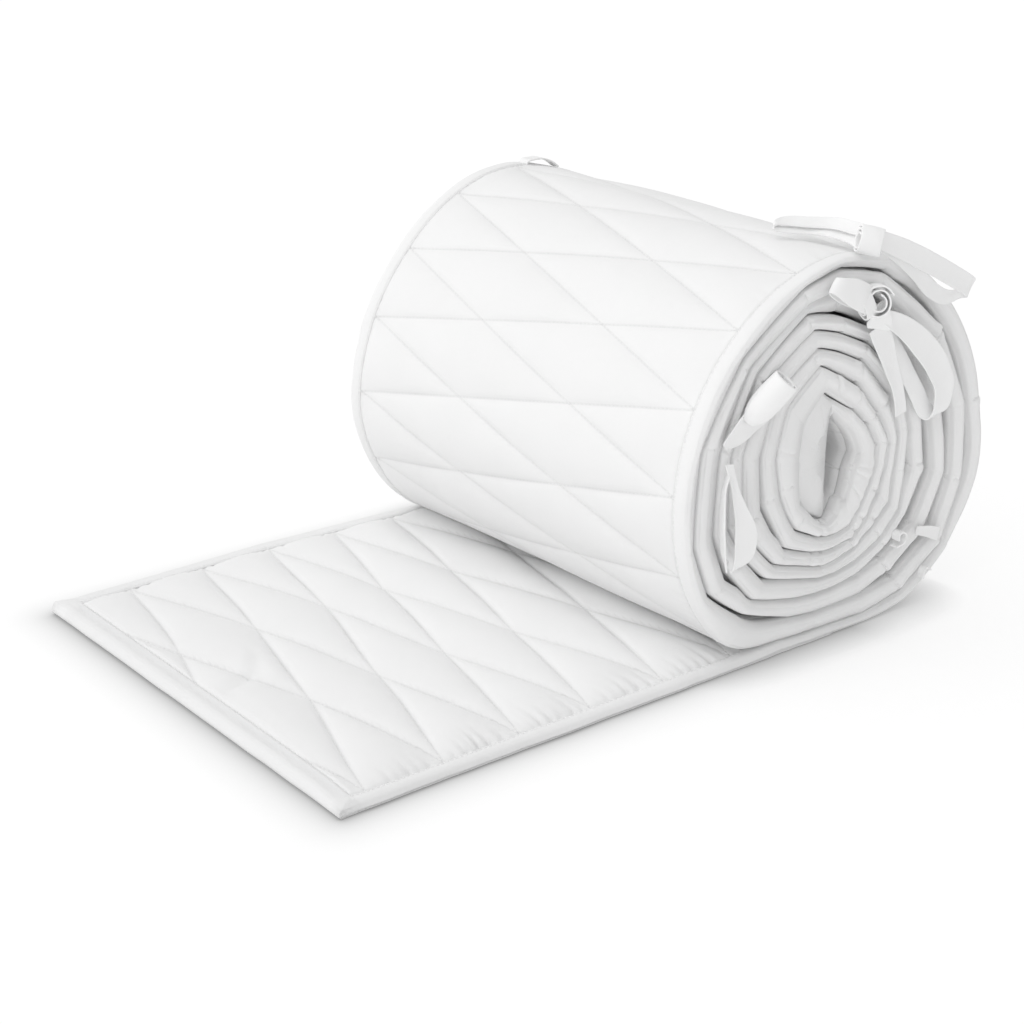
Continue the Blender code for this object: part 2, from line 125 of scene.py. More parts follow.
# How each face is quilted: depth of a stitch line, height of a puff above it, depth of the folds at
# the near and the far seam, seed, and how far from a seam the wadding has half its height
TOP_QUILTING = (1.0, 5.2, 4.2, 0.9, 3, 3.0)
ROLL_QUILTING = (1.8, 3.6, 0.7, 0.4, 6, 6.0)
NEAR_FOLDS = ((26, 0.3), (60, 1), (290, 1))  # length along the flat end, share of the near folds
# How far the stitching has shifted along the flat end: distance across, then x and shift
WARP = (
    (0, ((12, 0), (22, -1.8), (70, -1.5), (117, 0), (165, 0), (213, 4.4), (260, 7.7), (330, 0))),
    (103, ((12, 0), (46, 5), (93, 2.4), (141, -0.3), (189, 0.1), (236, 5.1), (290, 3), (330, 0))),
    (195, ((12, 0), (22, 2.5), (70, 5), (117, 5.5), (165, -1.1), (213, 0.3), (260, 1.7), (330, 0))),
    (298, ((12, 0), (46, -2), (93, 0), (141, 0.5), (189, 0.4), (236, -3), (330, 0))),
)
# Creases in the flat end's top: from x, y to x, y, depth, half width
CREASES = (
    (14, 214, 27, 178, 1.4, 2),
    (27, 178, 33, 152, 1.4, 2.2),
    (18, 134, 40, 146, 2.2, 3.2),
    (38, 146, 50, 162, 1.5, 2.6),
    (40, 145, 41, 146, 2.4, 4),
)

LUMPS = 64
GRAIN = np.random.default_rng(41).random((LUMPS, LUMPS))


def smooth(at, knots, values):
    """Cubic curve through the values, which never overshoots them."""
    at, knots, values = (np.asarray(each, float) for each in (at, knots, values))
    slope = np.diff(values) / np.diff(knots)
    tangent = np.zeros(len(knots))
    before, after = slope[:-1], slope[1:]
    same = before * after > 0
    tangent[1:-1][same] = 2 * before[same] * after[same] / (before[same] + after[same])
    k = np.clip(np.searchsorted(knots, at, side="right") - 1, 0, len(knots) - 2)
    step = knots[k + 1] - knots[k]
    t = (at - knots[k]) / step
    rise = (3 - 2 * t) * t * t
    lean = t * (1 - t) ** 2 * tangent[k] - t * t * (1 - t) * tangent[k + 1]
    return values[k] * (1 - rise) + values[k + 1] * rise + step * lean


def along(table, at):
    """The value at a place in a table of (place, value)."""
    return np.interp(at, *zip(*table))


def bell(at, width):
    return np.exp(-((at / width) ** 2))


def ripple(x, y, seed=0):
    """Smooth uneven heights from -1 to 1 over a plane; one unit is about one lump."""
    x, y = np.asarray(x, float) + seed * 7.3, np.asarray(y, float) + seed * 3.1
    i, j = np.floor(x).astype(int), np.floor(y).astype(int)
    s, t = x - i, y - j
    s, t = s * s * (3 - 2 * s), t * t * (3 - 2 * t)
    corner = [GRAIN[(i + a) % LUMPS, (j + b) % LUMPS] for a in (0, 1) for b in (0, 1)]
    low = corner[0] * (1 - t) + corner[1] * t
    high = corner[2] * (1 - t) + corner[3] * t
    return 2 * (low * (1 - s) + high * s) - 1


def thin_edge(points, across, flat):
    """Lowers the top of the flat end towards its near edge, and moves the seam outwards."""
    across = np.asarray(across, float)
    share = 1 - (1 - along(NEAR_THIN, points[..., 0])) * bell(across, THIN_REACH)
    inwards = across / TAPE_DEPTH
    shift = along(NEAR_SEAM, points[..., 0]) * inwards**2 * np.exp(2 * (1 - inwards))
    points[..., 2] *= np.where(flat, share, 1.0)
    points[..., 1] -= np.where(flat, shift, 0.0)
    return points


ANGLES = np.array([turn * 360 + way for turn in range(len(TURNS)) for way in DIRECTIONS], float)


def radius(angle, far):
    share = np.array(FAR_SHARE if far else [1] * len(DIRECTIONS))
    values = (np.array(TURNS) * share).ravel()
    angle = np.clip(np.asarray(angle, float), 0, ANGLES[-1])
    curved = smooth(angle, ANGLES, values)
    k = np.clip(np.searchsorted(ANGLES, angle, side="right") - 1, 0, len(ANGLES) - 2)
    behind = np.sin(np.radians(angle - ANGLES[k])) * values[k]
    ahead = np.sin(np.radians(ANGLES[k + 1] - angle)) * values[k + 1]
    whole = np.sin(np.radians(ANGLES[k + 1] - ANGLES[k])) * values[k] * values[k + 1]
    straight = whole / (behind + ahead)
    share = along(STRAIGHTNESS, angle)
    return curved * (1 - share) + straight * share


def roll_edge(angle, far):
    """Outer and inner points of one edge of the strip on the roll."""
    outer = radius(angle, far)
    wall = along(MOST_THICK, angle)
    inner = np.maximum(radius(angle + 360, far) + along(GAP, angle), outer - wall)
    way_x, way_z = np.sin(np.radians(angle)), -np.cos(np.radians(angle))
    y = np.full(angle.shape, WIDTH) if far else along(RECESS, angle)
    faces = [np.stack((CENTRE_X + r * way_x, y, CENTRE_Z + r * way_z), -1) for r in (outer, inner)]
    floor = np.where(angle > 270, along(FLAT_TOP, faces[0][..., 0]) + 1.0, 0.0)
    height = faces[0][..., 2]
    faces[0][..., 2] = np.where(angle < 360, np.maximum(height, floor), height)
    return faces


def flat_edge(x, far):
    """The same on the flat end, whose outer face is its underside."""
    y = np.zeros(x.shape)
    if far:
        x, y = x + along(FAR_SHIFT, x), WIDTH + along(FAR_BOW, x)
    return [np.stack((x, y, z), -1) for z in (np.zeros(x.shape), along(FLAT_TOP, x))]


def edge_at(place, far):
    """Points of an edge where place is x - CENTRE_X on the flat end and an angle on the roll."""
    place = np.asarray(place, float)
    level = flat_edge(CENTRE_X + np.minimum(place, 0), far)
    wound = roll_edge(np.maximum(place, 0), far)
    return [np.where(place[..., None] < 0, a, b) for a, b in zip(level, wound)]


def angles_at(lengths, far):
    """Directions on the outermost turn for lengths along the strip."""
    angles = np.arange(0.0, 361.0)
    rim = roll_edge(angles, far)[0]
    run = np.append(0.0, np.cumsum(np.linalg.norm(np.diff(rim, axis=0), axis=1)))
    ways, marks = zip(*(FAR_LENGTHS if far else NEAR_LENGTHS))
    spans = np.interp(ways, angles, run)
    rate = (marks[-1] - marks[0]) / (spans[-1] - spans[0])
    return np.interp(lengths, marks[0] + run * rate, angles)


class Strip:
    """Columns across the strip from its free end inwards. Each has a place on the near edge and
    one on the far edge, a length along the strip, and the number of its stitching column, which
    is NaN where there is none."""

    def __init__(self):
        step = PITCH / CELLS
        first = np.ceil((START + SEAM + 0.3 - FIRST_STITCH) / step)
        number = np.arange(first, MOST_COLUMNS)
        length = FIRST_STITCH + number * step
        flat = length <= CENTRE_X
        near = np.where(flat, length - CENTRE_X, angles_at(length, False))
        far = np.where(flat, length - CENTRE_X, angles_at(length, True))
        keep = np.maximum(near, far) < LAST_STITCHED
        number, length, near, far = (each[keep] for each in (number, length, near, far))
        final = LAST_ANGLE - np.degrees((SEAM + 0.2) / END_ARC)
        angle = [FIRST_INNER]
        while angle[-1] < final:
            angle.append(angle[-1] + np.degrees(INNER_STEP / radius(angle[-1], False)))
        angle[-1] = final
        bridge = np.linspace(0, 1, BRIDGE)[1:-1]
        ends = LAST_ANGLE - np.degrees(np.array((SEAM - 0.05, SEAM - 0.5, 1.8)) / END_ARC)
        start = START + np.array((1.8, SEAM - 0.5, SEAM - 0.05))
        inner = [
            [place[-1] + (angle[0] - place[-1]) * bridge, angle, ends] for place in (near, far)
        ]
        self.near = np.concatenate((start - CENTRE_X, near, *inner[0]))
        self.far = np.concatenate((start - CENTRE_X, far, *inner[1]))
        self.count = len(self.near)
        rest = self.count - 3 - len(number)
        self.number = np.concatenate((np.full(3, np.nan), number, np.full(rest, np.nan)))
        run = np.linalg.norm(np.diff(edge_at(self.near, False)[0], axis=0), axis=1)
        more = length[-1] + np.cumsum(run[-rest:])
        self.length = np.concatenate((start, length, more))
        self.flat = self.near < 0

    def edges(self, at):
        """Points of the strip's edges at columns, which may lie between two: near or far, outer
        or inner."""
        index = np.arange(self.count)
        return [
            edge_at(np.interp(at, index, places), far)
            for far, places in ((False, self.near), (True, self.far))
        ]


def spots(edges, across, face, depth):
    """Points of the strip, one to a column: distance from the near edge, face, depth below it."""
    share = np.asarray(across, float)[..., None] / WIDTH
    outer = edges[0][0] * (1 - share) + edges[1][0] * share
    inner = edges[0][1] * (1 - share) + edges[1][1] * share
    through = inner - outer
    through = through / np.linalg.norm(through, axis=-1, keepdims=True)
    depth = np.asarray(depth, float)[..., None]
    return outer + through * depth if face == 0 else inner - through * depth


# --- meshes


def add_piece(name, points, faces, uvs, finish):
    points = np.asarray(points, float).copy()
    points[:, 2] = np.maximum(points[:, 2], 0.0)
    mesh = bpy.data.meshes.new(name)
    mesh.from_pydata(((points + SHIFT) * MM).tolist(), [], faces)
    layer = mesh.uv_layers.new(name="cloth")
    corner = np.zeros(len(mesh.loops), int)
    mesh.loops.foreach_get("vertex_index", corner)
    layer.data.foreach_set("uv", (np.asarray(uvs)[corner] * MM).ravel())
    work = bmesh.new()
    work.from_mesh(mesh)
    bmesh.ops.recalc_face_normals(work, faces=work.faces)
    work.to_mesh(mesh)
    work.free()
    mesh.polygons.foreach_set("use_smooth", [True] * len(mesh.polygons))
    obj = bpy.data.objects.new(name, mesh)
    bpy.context.scene.collection.objects.link(obj)
    mesh.materials.append(finish)
    return obj


def settle(obj):
    """Turns what an object's modifiers make into its plain mesh."""
    bpy.context.view_layer.update()
    made = obj.evaluated_get(bpy.context.evaluated_depsgraph_get())
    mesh = bpy.data.meshes.new_from_object(made)
    obj.modifiers.clear()
    obj.data = mesh
    return obj


# --- the quilted panel


def quilt(number, row, rise):
    """Height of the wadding, from 0 on a stitch line or a seam to 1 at the middle of a diamond."""
    one = ((number - row) / CELLS) % 1.0
    two = ((number + row) / CELLS) % 1.0
    crown = 16 * one * (1 - one) * two * (1 - two)
    from_seam = np.minimum(row, ROWS - row) * FIELD / ROWS
    return crown**0.52 * from_seam / (from_seam + rise)


def gathers(number, depth, seed):
    """Small folds, like commas, that run in from a seam between two stitch lines: 0 to 1."""
    place = number / CELLS * PITCH
    wave = place / 6.4 + 0.6 * ripple(place / 12, 0.5, seed) + 0.025 * depth
    each = np.floor(wave) * 1.37
    fold = bell(wave % 1.0 - 0.5, 0.24)
    reach = 6.5 + 3.5 * ripple(each, 3.0, seed)
    between = np.sin(np.pi * (number / CELLS % 1.0)) ** 0.8
    strength = 0.65 + 0.5 * ripple(each, 8, seed)
    return fold * between * np.exp(-((depth / reach) ** 1.6)) * strength


def dents(x, y):
    """Depth of the creases in the flat end's top."""
    depth = np.zeros(np.broadcast(x, y).shape)
    for x0, y0, x1, y1, deep, wide in CREASES:
        run_x, run_y = x1 - x0, y1 - y0
        share = ((x - x0) * run_x + (y - y0) * run_y) / (run_x**2 + run_y**2)
        share = np.clip(share, 0, 1)
        away = np.hypot(x - x0 - share * run_x, y - y0 - share * run_y)
        depth = np.maximum(depth, deep * bell(away, wide))
    return depth


def warp(x, across):
    """How far the stitching has shifted along the flat end at one distance across it."""
    places = [place for place, _ in WARP]
    row = min(int(np.searchsorted(places, across, side="right")) - 1, len(WARP) - 2)
    part = (across - places[row]) / (places[row + 1] - places[row])
    part = part * part * (3 - 2 * part)
    low, high = (along(table, x) for _, table in WARP[row : row + 2])
    return low * (1 - part) + high * part


def panel_points(strip):
    """Points and cloth coordinates of the panel: face, row, column."""
    edges = strip.edges(np.arange(strip.count))
    stitched = ~np.isnan(strip.number)
    number = np.where(stitched, strip.number, 0)
    rows = [None, None, *FINE, None, None]
    rims = {0: 1.8, 1: SEAM - 0.5, len(rows) - 2: WIDTH - SEAM + 0.5, len(rows) - 1: WIDTH - 1.8}
    points, uvs = [], []
    for face in (0, 1):
        if face:
            fade = along(TOP_PUFFS, strip.length) * strip.flat
            groove, puff, near_fold, far_fold, seed, rise = TOP_QUILTING
            near_fold = near_fold * along(NEAR_FOLDS, strip.length)
        else:
            fade = along(ROLL_PUFFS, strip.near) * ~strip.flat
            groove, puff, near_fold, far_fold, seed, rise = ROLL_QUILTING
        for k, row in enumerate(rows):
            place = rims.get(k)
            if place is None:
                place = SEAM + FIELD * row / ROWS
                near, far = place - SEAM, WIDTH - SEAM - place
                height = quilt(number, row, rise)
                low = 0.5 + (groove - 0.5) * (1 - np.exp(-min(near, far) / 4))
                fold = near_fold * gathers(number, near, seed)
                fold = fold + far_fold * gathers(number, far, seed + 5)
                lump = 0.4 * ripple(strip.length / 25, place / 33, seed) * height
                depth = fade * (low - height * puff + fold - lump)
                if face:
                    depth = depth + dents(strip.length, place)
                depth = np.where(stitched, depth, 0.0)
                if row in (0, ROWS):
                    depth = np.maximum(depth, 0.5)
            else:
                depth = np.full(strip.count, PINCH)
            depth[[0, 1, -2, -1]] = PINCH
            depth[[2, -3]] = np.maximum(depth[[2, -3]], 0.5)
            found = spots(edges, place, face, depth)
            found[:, 0] += np.where(strip.flat, warp(strip.length, place), 0.0)
            found = thin_edge(found, place, strip.flat)
            points.append(found)
            uvs.append(np.stack((strip.length, np.full(strip.count, place)), -1))
    shape = (2, len(rows), strip.count)
    return np.array(points).reshape(*shape, 3), np.array(uvs).reshape(*shape, 2)


def make_panel(strip, finish):
    points, uvs = panel_points(strip)
    rows, count = points.shape[1:3]
    stitched = ~np.isnan(strip.number)
    fine = [
        stitched & (strip.near > 12),
        (strip.length < 345) & (strip.near < 10),
    ]
    coarse = [0, 1, *(2 + k for k, row in enumerate(FINE) if row in COARSE), rows - 2, rows - 1]
    used = np.zeros((2, rows, count), bool)
    for face in (0, 1):
        used[face][coarse] = True
        used[face][:, fine[face]] = True
    index = np.full(used.shape, -1)
    index[used] = np.arange(used.sum())
    whole = {2 + k: int(row) for k, row in enumerate(FINE) if row == int(row)}
    faces = []
    for face in (0, 1):
        for c in range(count - 1):
            here, there = fine[face][c], fine[face][c + 1]
            if not (here and there):
                for low, high in zip(coarse, coarse[1:]):
                    left = range(low, high + 1) if here else (low, high)
                    right = range(high, low - 1, -1) if there else (high, low)
                    ring = [index[face, r, c] for r in left]
                    faces.append(tuple(ring + [index[face, r, c + 1] for r in right]))
                continue
            sewn = stitched[c] and stitched[c + 1]
            for r in range(rows - 1):
                a, b = index[face, r, c], index[face, r + 1, c]
                e, d = index[face, r, c + 1], index[face, r + 1, c + 1]
                k = whole.get(r)
                one_row = sewn and k is not None and whole.get(r + 1) == k + 1
                if one_row and (strip.number[c] - k) % CELLS == 0:
                    faces += [(a, b, d), (a, d, e)]
                elif one_row and (strip.number[c] + 1 + k) % CELLS == 0:
                    faces += [(a, b, e), (b, d, e)]
                else:
                    faces.append((a, b, d, e))
    for r in (0, rows - 1):
        for c in range(count - 1):
            outer, inner = index[0, r], index[1, r]
            faces.append((outer[c], outer[c + 1], inner[c + 1], inner[c]))
    for c in (0, count - 1):
        for low, high in zip(coarse, coarse[1:]):
            up, down = (
                [index[face, r, c] for r in range(low, high + 1) if used[face, r, c]]
                for face in (0, 1)
            )
            faces.append(tuple(up + down[::-1]))
    return add_piece("quilted_panel_cloth", points[used], faces, uvs[used], finish), points


# --- the tape round the edges

NEAR_STEP, FAR_STEP, END_STEP = 3.2, 4.5, 5.0  # between rings along the edges
CLOSEST = 0.3  # that two rings may lie
KINK_SCATTER = 4.5  # how far a crease may lie from its bend
KINK_REACH = 3.2  # round a crease, where the rings lie AT_KINKS
CREASE, CREASE_WIDE = 2.7, 0.85  # depth of the strongest creases, and half their width
CREASE_SHARES, CREASE_ODDS = (0.1, 1.0, 1.25), (0.25, 0.45, 0.3)  # of weak, plain and strong ones
LEFT_SHARE, HOLLOW_SHARE = 0.25, 0.12  # of creases on the outermost turn's left, and at the hollow
HOLLOW_TURN = 2600
KINK_SWELL, KINK_JOG = 0.8, 0.8  # how the tape swells and shifts beside a crease
AT_KINKS = (-2.7, -1.8, -1.1, -0.55, 0.0, 0.55, 1.1, 1.8, 2.7)
BENDS = np.radians((15.0, 48.0, 80.0))  # round each corner of the fold
OUTSIDE = (0.12, 0.37, 0.63, 0.88)  # of the way through the fold's outside
# Cloth coordinate across the tape of each point of a ring
SPREAD = (0, 1, 4, 8, 10, 11, 12, 13, 14, 15, 16, 17, 18, 19, 20, 24, 27, 28, 29, 38, 42, 50)
# Depth from the edge and depth below the face of the flange's last three points
FLANGE = ((8.5, -0.3), (10.6, 0.05), (TAPE_DEPTH, 0.5))
END_FLANGE = ((6.7, 0.75), (8.5, -0.35), (TAPE_DEPTH, 0.5))


def tape_columns(strip, far):
    """Columns for the tape along one edge, and lengths along that edge."""
    at = np.arange(2, strip.count - 4 + 0.01, 0.2)
    rim = strip.edges(at)[1 if far else 0][0]
    run = np.append(0.0, np.cumsum(np.linalg.norm(np.diff(rim, axis=0), axis=1)))
    lengths = np.arange(0.0, run[-1], FAR_STEP if far else NEAR_STEP)
    place = np.interp(at, np.arange(strip.count), strip.near)
    kinks = np.interp(ANGLES[(ANGLES > 15) & (ANGLES < LAST_ANGLE - 25)], place, run)
    kinks += np.random.default_rng(5).uniform(-KINK_SCATTER, KINK_SCATTER, len(kinks))
    if not far:
        close = (kinks[:, None] + AT_KINKS).ravel()
        plain = lengths[np.abs(lengths[:, None] - kinks).min(axis=1) > KINK_REACH]
        lengths = np.concatenate((plain, close))
    lengths = np.sort(np.append(lengths, run[-1]))
    lengths = lengths[np.append(True, np.diff(lengths) > CLOSEST)]
    return np.interp(lengths, run, at), lengths, kinks


def tape_ring(place, side, form):
    """The folded tape's section. place takes a depth from the edge, a face and a depth below
    the face; side is the strip's thickness; form says how the tape lies: bulge rounds its
    outside, crease and slot press it in, jog and swell move it, outer, inner and round are the
    corners' radii, puffs and flange shape the part sewn down on each face."""
    bulge, crease, jog = form["bulge"], form["crease"], form["jog"]
    out = form["swell"] * 0.8
    ring = []
    for face, corner, wide in ((0, form["outer"], 0), (1, form["inner"], form["round"])):
        puff = form["puffs"][face]
        (a, a_low), (b, b_low), (c, c_low) = form["flange"][face]
        half = [
            place(c, face, c_low),
            place(b, face, b_low),
            place(a, face, a_low * puff if a_low < 0 else a_low),
            place(np.maximum(wide, corner) + bulge + 1.0, face, -0.5 * puff),
        ]
        shift = jog if face == 0 else 0.9 * crease - 0.6 * jog
        notch = crease * (0.15 if face == 0 else 1.4)
        middle = bulge * (1 if face else 0.6) + notch - out
        for bend in BENDS:
            depth = middle + np.maximum(wide, corner) * (1 - np.sin(bend))
            half.append(place(depth, face, corner * (1 - np.cos(bend)) + shift * np.sin(bend)))
        ring.append(half)
    outside = []
    for share in OUTSIDE:
        below = form["outer"] + (side - form["outer"] - form["inner"]) * share
        crown = (share - 0.3) / (0.7 if share > 0.3 else 0.3)
        depth = bulge * crown**2 + crease * (0.15 + 1.3 * share) - form["swell"]
        if share == OUTSIDE[1]:
            depth = depth + form["slot"]
        face = 0 if share < 0.5 else 1
        outside.append(place(depth, face, below if face == 0 else side - below))
    sides = ((TAPE_DEPTH, 1), (PINCH, 1), (PINCH, 0), (TAPE_DEPTH, 0))
    back = [place(depth, face, TAPE) for depth, face in sides]
    return np.array([*ring[0], *outside, *reversed(ring[1]), *back])


def tape_form(length, side, kinks, places, flat, far):
    """How the tape lies along an edge: creased at the kinks, swollen between them."""
    pick = np.random.default_rng(12)
    crease, jog, swell = (np.zeros(len(length)) for _ in range(3))
    for kink in kinks:
        strength, way = pick.uniform(0.0, 1.0) ** 1.4, pick.choice((-1, 1))
        strength *= pick.choice(CREASE_SHARES, p=CREASE_ODDS)
        turn = np.interp(kink, length, places)
        if 175 < turn < 360:
            strength *= LEFT_SHARE
        if turn > HOLLOW_TURN:
            strength *= HOLLOW_SHARE
        away = length - kink
        crease = np.maximum(crease, CREASE * strength * bell(away, CREASE_WIDE))
        swell += KINK_SWELL * strength * bell(np.abs(away) - 3.4, 2.4)
        jog += KINK_JOG * way * strength * np.tanh(away / 0.7) * bell(away, 7.0)
    swell += 0.35 * ripple(length / 13, 2, 3) + 0.2 * ripple(length / 6, 6, 4)
    plain = 0.0 if far else np.clip((18 - side) / 4, 0.1, 1)
    crease, jog = crease * plain, jog * plain
    return {
        "bulge": np.where(flat, 0.7, np.minimum(0.26 * side + 0.3, 2.8)),
        "crease": crease,
        "jog": jog,
        "swell": swell + np.where(flat, 0.5, 0.0),
        "outer": np.minimum(0.2 * side, 1.5),
        "inner": np.where(flat, np.minimum(0.46 * side, 3.6), np.minimum(0.36 * side, 3.0)),
        "round": np.where(flat, 3.6, 0.0),
        "slot": np.where(flat, 0.9, 0.0),
        "puffs": (
            np.where(flat, 0.1, 0.6 + 0.4 * ripple(length / 9, 1, 5)),
            np.where(flat, 0.9 + 0.5 * ripple(length / 8, 4, 6), 0.3),
        ),
        "flange": (FLANGE, FLANGE),
    }


def make_binding(strip, finish):
    rings, places = [], []
    for far in (False, True):
        at, length, kinks = tape_columns(strip, far)
        edges = strip.edges(at)
        side = np.linalg.norm(edges[far][0] - edges[far][1], axis=-1)
        angle = np.interp(at, np.arange(strip.count), strip.far if far else strip.near)

        def place(depth, face, below):
            across = WIDTH - depth if far else depth
            return thin_edge(spots(edges, across, face, below), across, angle < 0)

        form = tape_form(length, side, kinks, angle, angle < 0, far)
        made = np.swapaxes(tape_ring(place, side, form), 0, 1)
        ends = end_rings(inner_end=not far, backwards=far)
        run = length + START + SEAM
        if far:
            made, run = made[::-1], run[::-1]
        rings += [*made, *ends]
        places += [*run, *(run[-1] + 8 * np.arange(1, len(ends) + 1))]
    points = np.array(rings)
    total, size = points.shape[:2]
    uvs = np.zeros((total, size, 2))
    uvs[..., 0] = np.array(places)[:, None]
    uvs[..., 1] = 400 + np.array(SPREAD)[None, :]
    faces = []
    for k in range(total):
        here, there = k * size, (k + 1) % total * size
        for r in range(size):
            s = (r + 1) % size
            faces.append((here + r, here + s, there + s, there + r))
    return add_piece("binding_tape", points.reshape(-1, 3), faces, uvs.reshape(-1, 2), finish)


def end_rings(inner_end, backwards):
    """The tape's rings across one end of the strip, with a mitre at each corner."""
    stops = np.arange(TAPE_DEPTH + 0.4, WIDTH - TAPE_DEPTH, END_STEP)
    stops = np.concatenate(([0.0], stops, [WIDTH]))
    if backwards:
        stops = stops[::-1]
    rings = []
    for stop in stops:

        def place(depth, face, below):
            depth = float(depth)
            if inner_end:
                way = LAST_ANGLE - np.degrees(depth / END_ARC)
            else:
                way = START + depth - CENTRE_X
            edges = [edge_at(np.array([way]), far) for far in (False, True)]
            across = min(max(stop, depth), WIDTH - depth)
            return thin_edge(spots(edges, across, face, below), across, not inner_end)[0]

        side = np.linalg.norm(place(0, 0, 0) - place(0, 1, 0))
        swell = 0.3 * ripple(stop / 19, 7, 2)
        if not inner_end:
            swell += 1.2 + 1.6 * stop / WIDTH
        second = min(min(stop, WIDTH - stop) / 20.0, 1.0) * (not inner_end)
        flange = [
            tuple(np.array(a) * (1 - second) + np.array(b) * second)
            for a, b in zip(FLANGE, END_FLANGE)
        ]
        form = {
            "bulge": 0.5,
            "crease": 0.0,
            "jog": 0.0,
            "swell": swell,
            "outer": min(0.2 * side, 1.2),
            "inner": min(0.4 * side, 2.6),
            "round": 0.0 if inner_end else 2.4,
            "slot": 0.0,
            "puffs": (0.1, 0.9 + 0.4 * ripple(stop / 9, 5, 3)),
            "flange": (FLANGE, flange),
        }
        rings.append(tape_ring(place, side, form))
    return rings


# --- stitches

HEM = 1.2  # from the side of the tape to its stitching
THREAD_RISE = 0.02  # above the cloth

def stitch_tree(finish):
    """Geometry Nodes: small thread stitches laid end to end along every edge of a mesh."""
    tree = bpy.data.node_groups.new("stitches", "GeometryNodeTree")
    face = tree.interface
    face.new_socket("Geometry", in_out="INPUT", socket_type="NodeSocketGeometry")
    for label, value in (("Spacing", 0.003), ("Length", 0.0024), ("Thickness", 0.0005)):
        made = face.new_socket(label, in_out="INPUT", socket_type="NodeSocketFloat")
        made.default_value = value
    face.new_socket("Geometry", in_out="OUTPUT", socket_type="NodeSocketGeometry")

    def node(kind, settings=(), **inputs):
        made = tree.nodes.new(kind)
        for key, value in dict(settings).items():
            setattr(made, key, value)
        for key, value in inputs.items():
            socket = made.inputs[key.replace("_", " ")]
            if isinstance(value, bpy.types.NodeSocket):
                tree.links.new(value, socket)
            else:
                socket.default_value = value
        return made.outputs[0]

    source = tree.nodes.new("NodeGroupInput").outputs
    lines = node("GeometryNodeMeshToCurve", Mesh=source["Geometry"])
    even = node(
        "GeometryNodeResampleCurve", {"mode": "LENGTH"}, Curve=lines, Length=source["Spacing"]
    )
    way = node("GeometryNodeInputTangent")
    turn = node("FunctionNodeAlignRotationToVector", {"axis": "X"}, Vector=way)
    ball = node("GeometryNodeMeshUVSphere", Segments=5, Rings=4, Radius=0.5)
    thick = source["Thickness"]
    sizes = node("ShaderNodeCombineXYZ", X=source["Length"], Y=thick, Z=thick)
    laid = node(
        "GeometryNodeInstanceOnPoints", Points=even, Instance=ball, Rotation=turn, Scale=sizes
    )
    real = node("GeometryNodeRealizeInstances", Geometry=laid)
    round_off = node("GeometryNodeSetShadeSmooth", Geometry=real)
    painted = node("GeometryNodeSetMaterial", Geometry=round_off, Material=finish)
    tree.links.new(painted, tree.nodes.new("NodeGroupOutput").inputs["Geometry"])
    return tree


def make_stitches(name, lines, tree, sizes):
    """Stitches along lines of points."""
    points = []
    edges = []
    for line in lines:
        start = len(points)
        points += list(line)
        edges += [(start + k, start + k + 1) for k in range(len(line) - 1)]
    mesh = bpy.data.meshes.new(name)
    mesh.from_pydata(((np.array(points) + SHIFT) * MM).tolist(), edges, [])
    obj = bpy.data.objects.new(name, mesh)
    bpy.context.scene.collection.objects.link(obj)
    sewn = obj.modifiers.new("stitches", "NODES")
    sewn.node_group = tree
    for item in tree.interface.items_tree:
        if item.item_type == "SOCKET" and item.in_out == "INPUT" and item.name in sizes:
            sewn[item.identifier] = sizes[item.name]
    return settle(obj)


def quilting_lines(strip, points):
    """The stitch lines that show: on top of the flat end and on the outside of the roll."""
    column_of = {int(n): c for c, n in enumerate(strip.number) if not np.isnan(n)}
    row_of = {int(row): 2 + k for k, row in enumerate(FINE) if row == int(row)}
    lines = []
    for face in (1, 0):
        for step in (1, -1):
            first = min(column_of) // CELLS * CELLS - 4 * CELLS
            for start in range(first, max(column_of) + 3 * CELLS, CELLS):
                line = []
                for row in range(ROWS + 1):
                    column = column_of.get(start + step * row)
                    if column is None:
                        continue
                    flat = strip.flat[column] and strip.length[column] < 282
                    wound = not strip.flat[column] and 22 < strip.near[column] < 325
                    if not (flat if face == 1 else wound):
                        continue
                    here = points[face, row_of[row], column]
                    other = points[1 - face, row_of[row], column]
                    out = (here - other) / np.linalg.norm(here - other)
                    line.append(here + out * THREAD_RISE)
                if len(line) > 2:
                    lines.append(line)
    return lines


def hem_lines(strip):
    """Stitching along the inner edge of the tape."""
    lines = []
    depth = TAPE_DEPTH - HEM
    for face in (1, 0):
        show = strip.flat & (strip.length > 7) & (strip.length < 300)
        if face == 0:
            show = ~strip.flat & (strip.near > 14) & (strip.near < 335)
        chosen = strip.edges(np.nonzero(show)[0])
        for across in (depth, WIDTH - depth):
            line = spots(chosen, across, face, -THREAD_RISE)
            lines.append(thin_edge(line, across, face == 1))
    return lines


# --- ties

TIE_WIDTH = 15.0
TIE_THICK = 1.0


def across_strip(y, places):
    """Marks of a small tie that lies straight across the strip, from its places x, z."""
    return [(x, y, z, 0, 1, 0, 1) for x, z in places]


